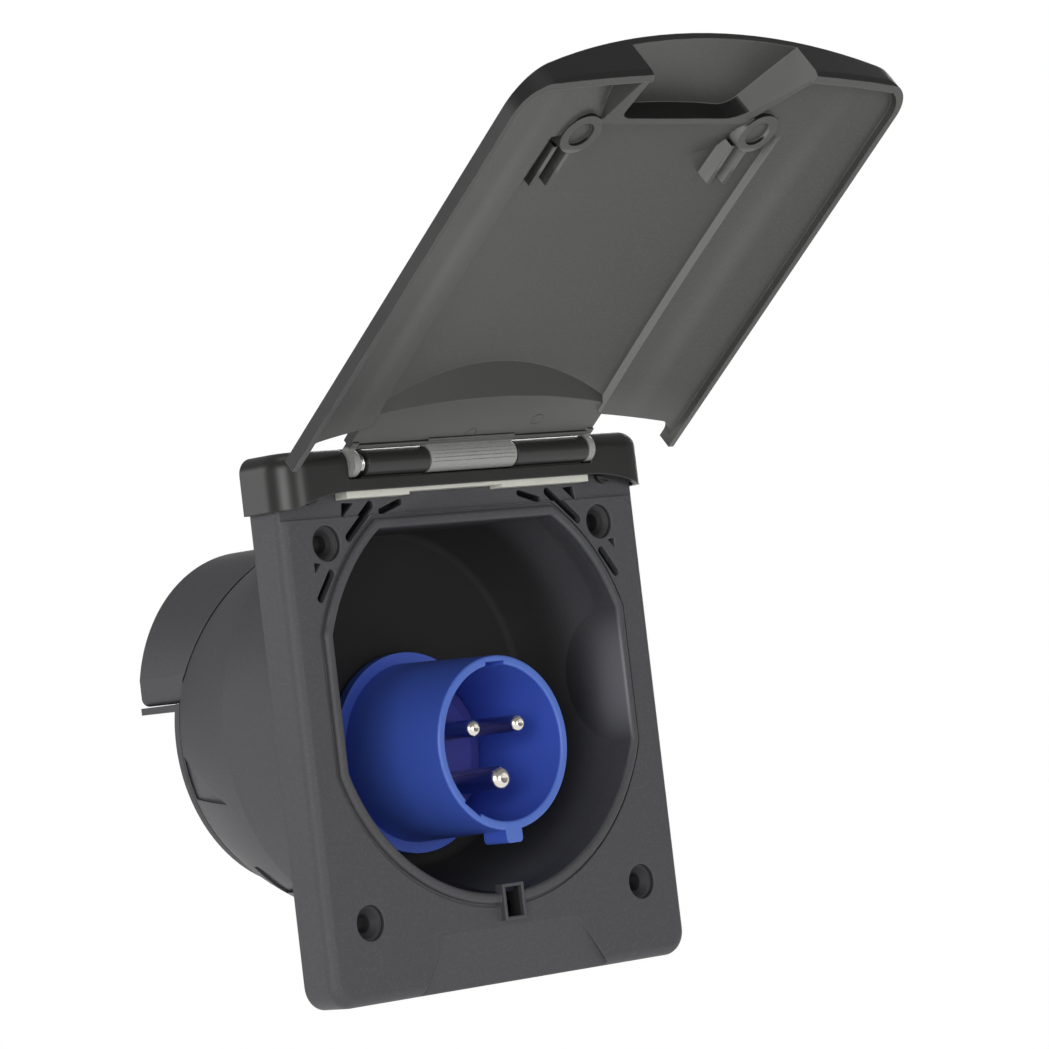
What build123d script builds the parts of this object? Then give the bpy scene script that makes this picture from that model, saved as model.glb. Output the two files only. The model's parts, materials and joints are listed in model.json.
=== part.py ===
from build123d import *
from math import cos, radians, sin
import os

# Flush mains inlet for a caravan wall. Millimetres. X right seen from the front, Y into the wall, Z up.
# The origin is the centre of the four fixing holes on the wall plane, Y = 0.

# Clearances
fit = 0.3
loose_fit = 0.1
screw_pilot_fit = 0.05

# Fixing holes
fixing_pitch_x = 104.0
fixing_pitch_z = 104.0
fixing_hole_radius = 2.6
fixing_recess_radius = 5.0
fixing_recess_depth = 1.6
fixing_boss_radius = 6.6

# Plate
plate_half_width = 67.7
plate_top = 75.3
plate_bottom = -74.2
plate_depth = 12.2
plate_wall = 2.4
plate_front_wall = 3.2
plate_bottom_corner = 7.0
plate_top_corner = 4.5
plate_edge_radius = 3.0
ledge_from = 58.9
ledge_depth = 1.0

# Opening and bowl
opening_height = 7.9
opening_radius = 57.26
opening_half_width = 54.05
opening_top = 54.8
lip_width = 2.95
lip_proud = 1.2
lip_groove_width = 0.9
lip_groove_depth = 0.6
bowl_wall = 2.5
bowl_floor = 24.65
bowl_floor_radius = 47.5
bowl_bulge = 3.2
bowl_corner_radius = 2.5

# Round skirt behind the plate
skirt_height = 2.9
skirt_front_radius = 61.5
skirt_mid_radius = 58.4
skirt_rear_radius = 46.0
skirt_mid = 33.0
skirt_end = 67.5
skirt_wall = 2.5

# Catch collar and finger trough under the opening
catch_slot_width = 6.2
catch_slot_height = 8.4
catch_slot_reach = 4.0
catch_rim = 0.9
catch_top = -46.8
catch_proud = 1.0
trough_half_width = 25.0
trough_foot_half_width = 36.0
trough_top = -58.5
trough_depth = 1.8

# Blind slots in the upper corners: places are from the fixing hole, the angle leans towards the middle
slot_depth = 6.0
slot_pad_above = (17.0, 5.5)
slot_pad_above_size = (30.0, 14.5)
slot_pad_beside = (-2.5, -10.5)
slot_pad_beside_size = (12.0, 14.0)
corner_slot_shapes = [((13.3, 5.45), 15.5, 2.5, 40.8)]
corner_slot_shapes += [((25.6, 8.8), 9.4, 1.9, 16.8)]
corner_slot_shapes += [((-1.9, -11.6), 10.4, 2.4, 54.0)]
corner_vent_shapes = [[(7.2, 6.3), (12.2, 10.5), (7.9, 10.8)], [(-5.2, -8.0), (-2.8, -5.4), (-5.2, -5.0)]]

# Recesses in the sides of the skirt: outlines in Y and Z
recess_depth = 1.3
skirt_recess_outlines = [[(66.0, -1.0), (41.4, -15.9), (66.0, -13.6)]]
skirt_recess_outlines += [[(50.4, -34.4), (46.5, -34.6), (36.0, -41.0), (36.3, -42.8), (50.2, -43.1)]]

# Inlet
inlet_height = -7.67
shroud_radius = 24.5
shroud_root_radius = 25.5
shroud_bore_radius = 21.9
shroud_mouth = -17.5
shroud_rear_radius = 24.0
shroud_rear_end = 44.0
flange_radius = 28.65
flange_thickness = 3.0
gasket_thickness = 1.0
key_width = 6.0
key_proud = 3.5
key_length = 9.5
groove_depth = 0.9
groove_width = 7.0
carrier_front = 16.0
carrier_back = 44.0
carrier_edge_radius = 1.0
island_rise = 2.0
island_rim = 6.5
pin_circle_radius = 9.82
pin_setback = 1.5
power_pin_radius = 2.5
earth_pin_radius = 3.5
terminal_radius = 4.4
terminal_length = 12.5
terminal_bore_radius = 2.1
terminal_bore_depth = 7.0
terminal_screw_radius = 1.5
terminal_screw_place = 4.5
terminal_head_radius = 2.7
terminal_head_height = 1.6
terminal_head_gap = 0.8
driver_slot_width = 0.8
driver_slot_depth = 0.8
pin_root_swell = 0.2
nut_outer_radius = 29.5
nut_thickness = 5.0
nut_notches = 12
nut_notch_depth = 1.5
nut_notch_width = 4.0

# Rear cover and closing plate
cover_height = 12.7
cover_radius = 44.0
cover_half_width = 43.0
cover_floor = 14.2
cover_end = 87.5
cover_wall = 2.2
cover_corner = 2.5
closing_thickness = 2.0
closing_foot_radius = 46.0

# Cable gland
gland_height = -22.0
gland_thread_radius = 9.9
gland_bore_radius = 6.2
gland_seal_fit = 1.2
gland_hex_across = 24.0
gland_hex_thickness = 5.0
gland_nut_length = 14.0
gland_locknut_thickness = 4.5
gland_body_reach = 8.0
gland_nut_gap = 0.8
gland_nut_end = 3.0
gland_seal_length = 8.0
gland_seal_wall = 3.3

# Hinge
hinge_y = -16.95
hinge_z = 72.9
barrel_radius = 3.75
pin_radius = 1.5
pin_fit = 0.06
lid_knuckle_left = -17.5
lid_knuckle_right = 15.1
knuckle_gap = 0.5
ring_inner = 43.5
ring_width = 2.4
pin_half_length = ring_inner + ring_width - loose_fit
spring_room = 2.8

# Hood over the top of the plate
hood_wall = 1.8
hood_half_width = plate_half_width + fit + hood_wall
hood_top = plate_top + fit + hood_wall
hood_front = 17.9
hood_side_bottom = 61.6
hood_edge_rise = 3.8
hood_edge_flat = 45.0
hood_top_corner = 4.6
hood_plan_corner = 9.0
seal_depth = 3.3
seal_depth_thin = 2.4
seal_half_width = 46.0
seal_thin_from = -23.0
seal_thin_to = 12.0

# Lid, in its own directions: x across, u from the hinge to the free end, w outwards
lid_opening_angle = 38.2
lid_half_width = 72.5
lid_rim = -6.6
lid_side_top = -2.5
lid_length = 147.9
lid_end_sagitta = 5.5
lid_end_lean = 17.0
lid_end_wall = 2.4
lid_side_wall = 2.0
lid_corner_radius = 12.0
lid_corner_reach = 1.2
lid_ear_start = 5.5
lid_wing_start = 13.0
lid_wing_drop = 6.2
lid_panel_wall = 2.1
lid_crease = 43.5
lid_apron_level = 2.3
lid_apron_start = 4.3
lid_lip_level = 1.4
lid_lip_width = 1.3
lid_step_radius = 199.5
lid_step_reach = 21.0
lid_ramp_start = 90.0
lid_ramp_level = 10.4
lid_shelf_level = 2.9
lid_scoop_start = 124.7
lid_scoop_crest = 2.0
lid_scoop_side_wall = 1.7
lid_scoop_flank = 22.0
lid_scoop_half_width = 22.0
lid_scoop_mouth = 34.0
lid_scoop_wall = 2.2
lid_scoop_corner = 6.0
lid_boss_x = 33.4
lid_boss_u = 119.7
lid_boss_radius = 6.5
lid_boss_dish = 4.0
lid_boss_level = 1.3
lid_dish_depth = 1.2
lid_rib_level = 3.3
lid_rib_width = 1.4
lid_rib_length = 14.0
lid_rib_offsets = [-4.0, 2.0]
lid_dome = [(2.0, 9.6), (40.0, 12.0), (80.0, 12.6), (120.0, 11.4), (156.0, 7.6)]

# Screws and the foam strip
wall_gasket_width = 3.2
small_screw_radius = 1.5
small_screw_head = 2.8
small_screw_head_height = 1.4
small_screw_length = 9.0
small_post_radius = 3.2
cross_slot_length = 3.4
hood_screw_x = 56.0
hood_screw_z = 66.0
shelf_screw_x = 36.0
foot_screw_x = 37.6
foot_screw_z = -14.5

os.makedirs("parts", exist_ok=True)


# Planes
def facing(y):
    """Plane across the wall at depth y: local x is X, local y is Z, and it faces forward."""
    return Plane.XZ.offset(-y)


lid_turn = radians(lid_opening_angle)
hinge_point = Vector(0, hinge_y, hinge_z)
lid_along = Vector(0, -cos(lid_turn), sin(lid_turn))
lid_out = Vector(0, sin(lid_turn), cos(lid_turn))


def lid_plan(level):
    """Plane over the lid's area at a level w: local x is X, local y is u, and it faces inwards."""
    return Plane(origin=hinge_point + lid_out * level, x_dir=(1, 0, 0), z_dir=-lid_out)


def lid_across(place):
    """Plane across the lid at a distance u from the hinge: local x is X, local y is w."""
    return Plane(origin=hinge_point + lid_along * place, x_dir=(1, 0, 0), z_dir=lid_along)


def lid_side(place):
    """Plane along the lid at a place x: local x is u, local y is w, and it faces left."""
    return Plane(origin=hinge_point + Vector(place, 0, 0), x_dir=lid_along, z_dir=(-1, 0, 0))


hinge_side = Plane(origin=hinge_point, x_dir=(0, 1, 0), z_dir=(1, 0, 0))
inlet_axis = Axis((0, 0, inlet_height), (0, 1, 0))

plate_face = -plate_depth
lip_crest = plate_face - lip_proud
ring_outer = ring_inner + ring_width
hinge_room = ring_outer + fit
flange_back = bowl_floor - gasket_thickness
flange_front = flange_back - flange_thickness
floor_back = bowl_floor + bowl_wall


def save(builder, name):
    """Name the finished piece and write it out."""
    builder.part.label = name
    export_step(builder.part, "parts/" + name + ".step")


# Plate, lip, bowl and skirt
def opening_outline(grow):
    """Outline of the opening: a circle cut by two side flats and a flat top, all moved out by grow."""
    height = opening_radius * 2 + grow
    with BuildSketch() as outline:
        with Locations((0, opening_height)):
            Circle(opening_radius + grow)
        with Locations((0, opening_top + grow - height / 2)):
            Rectangle(2 * (opening_half_width + grow), height, mode=Mode.INTERSECT)
    return outline.sketch


def bowl_space(grow, front, floor):
    """The hollow of the bowl grown by a wall: a revolved curve inside the straight opening outline."""
    outline = opening_outline(grow)
    with BuildPart() as space:
        with BuildSketch(Plane.YZ):
            with BuildLine():
                mouth = (front, opening_height + opening_radius + grow)
                waist = (floor * 0.45, opening_height + opening_radius - bowl_bulge + grow)
                foot = (floor, opening_height + bowl_floor_radius + grow)
                ThreePointArc(mouth, waist, foot)
                Polyline(foot, (floor, opening_height), (front, opening_height), mouth)
            make_face()
        revolve(axis=Axis((0, 0, opening_height), (0, 1, 0)))
        fillet(space.edges().group_by(Axis.Y)[-1], bowl_corner_radius)
        with BuildSketch(facing(floor)):
            add(outline)
        extrude(amount=floor - front, mode=Mode.INTERSECT)
    return space.part


def skirt_space(shrink, front, end):
    """The round skirt as a solid: nearly straight behind the plate, then drawn in towards the rear."""
    with BuildPart() as space:
        with BuildSketch(Plane.YZ):
            with BuildLine():
                root = (front, skirt_height + skirt_front_radius - shrink)
                shoulder = (skirt_mid, skirt_height + skirt_mid_radius - shrink)
                tail = (end, skirt_height + skirt_rear_radius - shrink)
                Line(root, shoulder)
                RadiusArc(shoulder, tail, 110.0)
                Polyline(tail, (end, skirt_height), (front, skirt_height), root)
            make_face()
        revolve(axis=Axis((0, 0, skirt_height), (0, 1, 0)))
    return space.part


def cover_section(shrink):
    """Section of the rear cover: an arch with flat sides and a flat foot, all moved in by shrink."""
    with BuildSketch() as section:
        with Locations((0, cover_height)):
            Circle(cover_radius - shrink)
        height = cover_radius * 2
        with Locations((0, cover_floor + height / 2)):
            Rectangle(2 * (cover_half_width - shrink), height, mode=Mode.INTERSECT)
    return section.sketch


def plate_outline(shrink, bottom_corner, top_corner):
    """Outline of the plate, moved in by shrink."""
    width = 2 * (plate_half_width - shrink)
    height = plate_top - plate_bottom - 2 * shrink
    with BuildSketch() as outline:
        with Locations((0, (plate_top + plate_bottom) / 2)):
            Rectangle(width, height)
        fillet(outline.vertices().group_by(Axis.Y)[0], bottom_corner)
        fillet(outline.vertices().group_by(Axis.Y)[-1], top_corner)
    return outline.sketch


slot_corner = [(-fixing_pitch_x / 2, fixing_pitch_z / 2)]
with BuildSketch() as slot_shapes:
    for place, length, width, angle in corner_slot_shapes:
        with Locations(place):
            SlotOverall(length, width, rotation=angle)
    for outline in corner_vent_shapes:
        with BuildLine():
            Polyline(*outline, close=True)
        make_face()
corner_slots = Pos(*slot_corner[0]) * slot_shapes.sketch

skirt_start = plate_face + plate_front_wall / 2
plate_shape = plate_outline(0, plate_bottom_corner, plate_top_corner)
plate_hollow = plate_outline(plate_wall, plate_bottom_corner - plate_wall, plate_top_corner - plate_wall)
lip_shape = opening_outline(lip_width)
lip_groove = opening_outline(lip_width + lip_groove_width)
skirt_solid = skirt_space(0, skirt_start, skirt_end)
skirt_chamber = skirt_space(skirt_wall, plate_face + plate_front_wall, skirt_end)
bowl_solid = bowl_space(bowl_wall, plate_face + 0.5, floor_back)
bowl_hollow = bowl_space(0, lip_crest, bowl_floor)
cover_passage = cover_section(cover_wall + fit)

# finger trough at the lower edge: it deepens from nothing under the catch
with BuildPart() as finger_trough:
    with BuildSketch(facing(plate_face + trough_depth)):
        with BuildLine():
            Polyline(
                (-trough_half_width, trough_top),
                (trough_half_width, trough_top),
                (trough_foot_half_width, plate_bottom),
                (-trough_foot_half_width, plate_bottom),
                close=True,
            )
        make_face()
    extrude(amount=trough_depth)
    with BuildSketch(Plane.YZ):
        with BuildLine():
            Polyline(
                (plate_face, trough_top),
                (plate_face + trough_depth, plate_bottom),
                (plate_face, plate_bottom),
                close=True,
            )
        make_face()
    extrude(amount=trough_foot_half_width, both=True, mode=Mode.INTERSECT)

# shallow recesses in both sides of the skirt
recess_floor = skirt_space(recess_depth, skirt_start, skirt_end + 1)
with BuildPart() as skirt_recesses:
    for outline in skirt_recess_outlines:
        with BuildSketch(Plane.YZ):
            with BuildLine():
                Polyline(*outline, close=True)
            make_face()
        extrude(amount=2 * skirt_front_radius, both=True)
    add(recess_floor, mode=Mode.SUBTRACT)

with BuildPart() as front_frame:
    # tray of the plate
    with BuildSketch(facing(0)):
        add(plate_shape)
    extrude(amount=plate_depth)
    fillet(front_frame.faces().sort_by(Axis.Y)[0].edges(), plate_edge_radius)
    with BuildSketch(facing(0)):
        add(plate_hollow)
    extrude(amount=plate_depth - plate_front_wall, mode=Mode.SUBTRACT)
    # ledge under the hood
    with BuildSketch(facing(plate_face + ledge_depth)):
        with Locations((0, (ledge_from + plate_top) / 2 + 2)):
            Rectangle(2 * plate_half_width + 2, plate_top - ledge_from + 4)
    extrude(amount=ledge_depth + 1, mode=Mode.SUBTRACT)
    # bosses round the fixing holes
    with BuildSketch(facing(0)):
        with GridLocations(fixing_pitch_x, fixing_pitch_z, 2, 2):
            Circle(fixing_boss_radius)
    extrude(amount=plate_depth - plate_front_wall / 2)
    # thick corners behind the blind slots
    with BuildSketch(facing(plate_face + slot_depth + plate_wall / 2)):
        with Locations(*slot_corner):
            with Locations(slot_pad_above):
                Rectangle(*slot_pad_above_size)
            with Locations(slot_pad_beside):
                Rectangle(*slot_pad_beside_size)
        mirror(about=Plane.YZ)
    extrude(amount=slot_depth + plate_wall / 2 - plate_front_wall / 2)
    # skirt and chamber, then the bowl in it
    add(skirt_solid)
    add(skirt_recesses.part, mode=Mode.SUBTRACT)
    add(skirt_chamber, mode=Mode.SUBTRACT)
    add(bowl_solid)
    with BuildSketch(facing(plate_face + plate_front_wall / 2)):
        add(lip_shape)
    extrude(amount=plate_front_wall / 2 + lip_proud)
    fillet(front_frame.faces().sort_by(Axis.Y)[0].edges(), lip_proud * 0.85)
    add(bowl_hollow, mode=Mode.SUBTRACT)
    inner_lip = front_frame.faces().filter_by(Axis.Y).sort_by(Axis.Y)[0]
    fillet(inner_lip.inner_wires()[0].edges(), lip_proud * 0.85)
    # groove that frames the lip
    with BuildSketch(facing(plate_face + lip_groove_depth)):
        add(lip_groove)
        add(lip_shape, mode=Mode.SUBTRACT)
    extrude(amount=lip_groove_depth, mode=Mode.SUBTRACT)
    # opening for the inlet
    with BuildSketch(facing(floor_back + 1)):
        with Locations((0, inlet_height)):
            Circle(shroud_rear_radius + fit)
    extrude(amount=bowl_wall + 2, mode=Mode.SUBTRACT)
    # the rear cover's arch opens the skirt from above
    with BuildSketch(facing(skirt_end + 1)):
        add(cover_passage)
    extrude(amount=skirt_end - floor_back - 6, mode=Mode.SUBTRACT)
    # recessed fixing holes
    with BuildSketch(facing(plate_face + fixing_recess_depth)):
        with GridLocations(fixing_pitch_x, fixing_pitch_z, 2, 2):
            Circle(fixing_recess_radius)
    extrude(amount=fixing_recess_depth + 1, mode=Mode.SUBTRACT)
    with Locations(facing(plate_face + fixing_recess_depth)):
        with GridLocations(fixing_pitch_x, fixing_pitch_z, 2, 2):
            CounterSinkHole(fixing_hole_radius, fixing_recess_radius - 0.6, counter_sink_angle=90)
    # blind slots that lighten the upper corners, placed from the fixing holes
    with BuildSketch(facing(plate_face + slot_depth)):
        add(corner_slots)
        mirror(about=Plane.YZ)
    extrude(amount=slot_depth + 1, mode=Mode.SUBTRACT)
    # holes for the hood's screws
    with BuildSketch(facing(0)):
        with Locations((-hood_screw_x, hood_screw_z), (hood_screw_x, hood_screw_z)):
            Circle(small_screw_radius + fit)
    extrude(amount=plate_depth + 1, mode=Mode.SUBTRACT)
    # posts for the closing plate's screws
    with BuildSketch(facing(skirt_end)):
        with Locations((-foot_screw_x, foot_screw_z), (foot_screw_x, foot_screw_z)):
            Circle(small_post_radius)
    extrude(amount=small_screw_length + 2)
    with BuildSketch(facing(skirt_end)):
        with Locations((-foot_screw_x, foot_screw_z), (foot_screw_x, foot_screw_z)):
            Circle(small_screw_radius + screw_pilot_fit)
    extrude(amount=small_screw_length, mode=Mode.SUBTRACT)
    add(finger_trough.part, mode=Mode.SUBTRACT)
    # catch collar and its slot
    catch_height = catch_slot_height + 2 * catch_rim
    with BuildSketch(facing(plate_face + 1)):
        with Locations((0, catch_top - catch_height / 2)):
            Rectangle(catch_slot_width + 2 * catch_rim, catch_height)
    extrude(amount=1 + lip_proud + catch_proud)
    with BuildSketch(facing(plate_face + plate_front_wall + catch_slot_reach)):
        with Locations((0, catch_top - catch_height / 2)):
            Rectangle(catch_slot_width, catch_slot_height)
    extrude(amount=catch_slot_reach + plate_front_wall + lip_proud + catch_proud + 1, mode=Mode.SUBTRACT)
save(front_frame, "front_frame")

# Foam strip between the plate and the wall
gasket_out = plate_wall + fit
gasket_in = gasket_out + wall_gasket_width
gasket_rim = plate_outline(gasket_out, plate_bottom_corner - gasket_out, plate_top_corner - gasket_out)
gasket_window = plate_outline(gasket_in, 1.0, 1.0)
with BuildPart() as wall_gasket:
    with BuildSketch(facing(0)):
        add(gasket_rim)
        add(gasket_window, mode=Mode.SUBTRACT)
    extrude(amount=plate_depth - plate_front_wall)
save(wall_gasket, "wall_gasket")

# Inlet: collar with flange
with BuildPart() as inlet_shroud:
    with BuildSketch(Plane.YZ):
        with BuildLine():
            Polyline(
                (shroud_mouth, inlet_height + shroud_bore_radius),
                (shroud_mouth, inlet_height + shroud_radius),
                (flange_front, inlet_height + shroud_root_radius),
                (flange_front, inlet_height + flange_radius),
                (flange_back, inlet_height + flange_radius),
                (flange_back, inlet_height + shroud_rear_radius),
                (shroud_rear_end, inlet_height + shroud_rear_radius),
                (shroud_rear_end, inlet_height + shroud_bore_radius),
                close=True,
            )
        make_face()
    revolve(axis=inlet_axis)
    fillet(inlet_shroud.edges().group_by(Axis.Y)[0], 0.7)
    # key rib under the mouth
    with BuildSketch(facing(shroud_mouth + key_length)):
        with Locations((0, inlet_height - shroud_radius - key_proud / 2 + 0.5)):
            RectangleRounded(key_width, key_proud + 1, 1.2)
    extrude(amount=key_length)
    # grooves inside the mouth
    with BuildSketch(facing(flange_front)):
        with Locations((0, inlet_height)):
            with PolarLocations(shroud_bore_radius, 2, start_angle=90, angular_range=140, endpoint=True):
                Rectangle(2 * groove_depth, groove_width)
    extrude(amount=flange_front - shroud_mouth + 1, mode=Mode.SUBTRACT)
save(inlet_shroud, "inlet_shroud")

# Inlet: insert that carries the pins
pin_places = [("line_pin", 150, power_pin_radius), ("neutral_pin", 30, power_pin_radius)]
pin_places += [("earth_pin", 270, earth_pin_radius)]


def pin_axis(angle):
    """Axis of one pin of the ring, along Y."""
    x = pin_circle_radius * cos(radians(angle))
    z = inlet_height + pin_circle_radius * sin(radians(angle))
    return x, z


with BuildPart() as contact_carrier:
    with BuildSketch(facing(carrier_back)):
        with Locations((0, inlet_height)):
            Circle(shroud_bore_radius - loose_fit)
    extrude(amount=carrier_back - carrier_front)
    fillet(contact_carrier.edges().group_by(Axis.Y)[0], carrier_edge_radius)
    # raised island round the pins
    with BuildSketch(facing(carrier_front)):
        with Locations((0, inlet_height)):
            Circle(pin_circle_radius + island_rim)
    extrude(amount=island_rise)
    for name, angle, radius in pin_places:
        with BuildSketch(facing(carrier_back + 1)):
            with Locations(pin_axis(angle)):
                Circle(radius + pin_root_swell + screw_pilot_fit)
        extrude(amount=carrier_back - carrier_front + island_rise + 2, mode=Mode.SUBTRACT)
save(contact_carrier, "contact_carrier")

# Pins, each with its terminal barrel behind the insert
pin_tip = shroud_mouth + pin_setback
pin_root = carrier_front - island_rise - fit
for name, angle, radius in pin_places:
    pin_x, pin_z = pin_axis(angle)
    with BuildPart() as pin:
        with BuildSketch(Plane.YZ.offset(pin_x)):
            with BuildLine():
                shank = (pin_tip + radius * 0.6, pin_z + radius)
                nose = (pin_tip, pin_z + radius * 0.4)
                RadiusArc(nose, shank, radius * 0.75)
                Polyline(
                    shank,
                    (pin_root, pin_z + radius),
                    (pin_root, pin_z + radius + pin_root_swell),
                    (carrier_back, pin_z + radius + pin_root_swell),
                    (carrier_back, pin_z + terminal_radius),
                    (carrier_back + terminal_length, pin_z + terminal_radius),
                    (carrier_back + terminal_length, pin_z + terminal_bore_radius),
                    (carrier_back + terminal_length - terminal_bore_depth, pin_z + terminal_bore_radius),
                    (carrier_back + terminal_length - terminal_bore_depth, pin_z),
                    (pin_tip + radius * 0.3, pin_z),
                    nose,
                )
            make_face()
        revolve(axis=Axis((pin_x, 0, pin_z), (0, 1, 0)))
        # radial hole for the clamping screw
        outward = Vector(cos(radians(angle)), 0, sin(radians(angle)))
        barrel = Vector(pin_x, carrier_back + terminal_length - terminal_screw_place, pin_z)
        with BuildSketch(Plane(origin=barrel, z_dir=outward)):
            Circle(terminal_screw_radius + screw_pilot_fit)
        extrude(amount=terminal_radius + 1, mode=Mode.SUBTRACT)
    save(pin, name)

with BuildPart() as terminal_screws:
    for name, angle, radius in pin_places:
        pin_x, pin_z = pin_axis(angle)
        outward = Vector(cos(radians(angle)), 0, sin(radians(angle)))
        barrel = Vector(pin_x, carrier_back + terminal_length - terminal_screw_place, pin_z)
        seat = Plane(origin=barrel + outward * (terminal_radius + terminal_head_gap), z_dir=outward)
        with BuildSketch(seat.offset(-terminal_radius)):
            Circle(terminal_screw_radius)
        extrude(amount=terminal_radius)
        with BuildSketch(seat):
            Circle(terminal_head_radius)
        extrude(amount=terminal_head_height)
        with BuildSketch(seat.offset(terminal_head_height)):
            Rectangle(2 * terminal_head_radius + 1, driver_slot_width)
        extrude(amount=-driver_slot_depth, mode=Mode.SUBTRACT)
save(terminal_screws, "terminal_screws")

# Rubber ring under the flange
with BuildPart() as inlet_gasket:
    with BuildSketch(facing(bowl_floor)):
        with Locations((0, inlet_height)):
            Circle(flange_radius - 0.4)
            Circle(shroud_rear_radius + fit, mode=Mode.SUBTRACT)
    extrude(amount=gasket_thickness)
save(inlet_gasket, "inlet_gasket")

# Ring nut behind the floor of the bowl
with BuildPart() as inlet_nut:
    with BuildSketch(facing(floor_back + nut_thickness)):
        with Locations((0, inlet_height)):
            Circle(nut_outer_radius)
            Circle(shroud_rear_radius + loose_fit, mode=Mode.SUBTRACT)
            with PolarLocations(nut_outer_radius, nut_notches):
                Rectangle(2 * nut_notch_depth, nut_notch_width, mode=Mode.SUBTRACT)
    extrude(amount=nut_thickness)
save(inlet_nut, "inlet_nut")

# Rear cover: arch shell that sits on the skirt
cover_outside = cover_section(0)
cover_inside = cover_section(cover_wall)
skirt_room = skirt_space(-fit, 0, skirt_end)
shelf_top = cover_floor - fit
shelf_screw_y = (skirt_end + cover_end) / 2
with BuildPart() as cover_posts:
    with BuildSketch(Plane.XY.offset(cover_floor)):
        with Locations((-shelf_screw_x, shelf_screw_y), (shelf_screw_x, shelf_screw_y)):
            Circle(small_post_radius)
    extrude(amount=cover_radius)
    with BuildSketch(facing(cover_end)):
        add(cover_outside)
    extrude(amount=cover_end, mode=Mode.INTERSECT)
    with BuildSketch(Plane.XY.offset(cover_floor)):
        with Locations((-shelf_screw_x, shelf_screw_y), (shelf_screw_x, shelf_screw_y)):
            Circle(small_screw_radius + screw_pilot_fit)
    extrude(amount=small_screw_length, mode=Mode.SUBTRACT)

with BuildPart() as rear_cover:
    with BuildSketch(facing(cover_end)):
        add(cover_outside)
    extrude(amount=cover_end - floor_back - 2)
    fillet(rear_cover.edges().filter_by(Axis.Y).group_by(Axis.Z)[0], cover_corner)
    fillet(rear_cover.faces().sort_by(Axis.Y)[-1].edges().sort_by(Axis.Z)[1:], 1.2)
    with BuildSketch(facing(cover_end - cover_wall)):
        add(cover_inside)
    extrude(amount=cover_end - floor_back, mode=Mode.SUBTRACT)
    with BuildSketch(facing(cover_end - cover_wall)):
        with Locations((0, cover_floor + 2)):
            Rectangle(2 * (cover_half_width - cover_wall), 8)
    extrude(amount=cover_end - floor_back, mode=Mode.SUBTRACT)
    add(cover_posts.part)
    add(skirt_room, mode=Mode.SUBTRACT)
save(rear_cover, "rear_cover")

# Closing plate: shelf under the arch and round foot behind the skirt
foot_back = skirt_end + fit + closing_thickness
foot_seat = Plane(origin=(0, foot_back, 0), x_dir=(1, 0, 0), z_dir=(0, 1, 0))
foot_spots = [(-foot_screw_x, -foot_screw_z), (foot_screw_x, -foot_screw_z)]
shelf_seat = Plane(origin=(0, 0, shelf_top - closing_thickness), x_dir=(1, 0, 0), z_dir=(0, 0, -1))
shelf_spots = [(-shelf_screw_x, -shelf_screw_y), (shelf_screw_x, -shelf_screw_y)]
closing_screw_seats = [(foot_seat, foot_spots), (shelf_seat, shelf_spots)]
with BuildPart() as closing_plate:
    with BuildSketch(facing(skirt_end + fit + closing_thickness)):
        with Locations((0, skirt_height)):
            Circle(closing_foot_radius)
        with Locations((0, cover_floor - fit + closing_foot_radius / 2)):
            Rectangle(3 * closing_foot_radius, closing_foot_radius, mode=Mode.SUBTRACT)
    extrude(amount=closing_thickness)
    with BuildSketch(Plane.XY.offset(cover_floor - fit)):
        shelf_length = cover_end - skirt_end - fit
        with Locations((0, cover_end - shelf_length / 2)):
            Rectangle(2 * cover_half_width, shelf_length)
    extrude(amount=-closing_thickness)
    with BuildSketch(facing(skirt_end + fit + closing_thickness + 1)):
        with Locations((0, gland_height)):
            Circle(gland_thread_radius + fit)
    extrude(amount=closing_thickness + 2, mode=Mode.SUBTRACT)
    # sunk screw holes
    for seat, spots in closing_screw_seats:
        with BuildSketch(seat):
            with Locations(*spots):
                Circle(small_screw_radius + fit)
        extrude(amount=-closing_thickness - 1, mode=Mode.SUBTRACT)
        with BuildSketch(seat):
            with Locations(*spots):
                Circle(small_screw_head + fit)
        extrude(amount=-small_screw_head_height, mode=Mode.SUBTRACT)
save(closing_plate, "closing_plate")


def screw_at(seat, spots, length):
    """Small screws whose heads lie in the sunk holes of a seat plane, pointing into it."""
    with BuildPart() as screws:
        with BuildSketch(seat):
            with Locations(*spots):
                Circle(small_screw_radius)
        extrude(amount=-length)
        with BuildSketch(seat):
            with Locations(*spots):
                Circle(small_screw_head)
        extrude(amount=-small_screw_head_height)
        with BuildSketch(seat):
            with Locations(*spots):
                Rectangle(cross_slot_length, driver_slot_width)
                Rectangle(driver_slot_width, cross_slot_length)
        extrude(amount=-driver_slot_depth, mode=Mode.SUBTRACT)
    return screws.part


foot_screws = screw_at(foot_seat, foot_spots, small_screw_length)
shelf_screws = screw_at(shelf_seat, shelf_spots, small_screw_length)
with BuildPart() as closing_plate_screws:
    add(foot_screws)
    add(shelf_screws)
save(closing_plate_screws, "closing_plate_screws")

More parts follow.
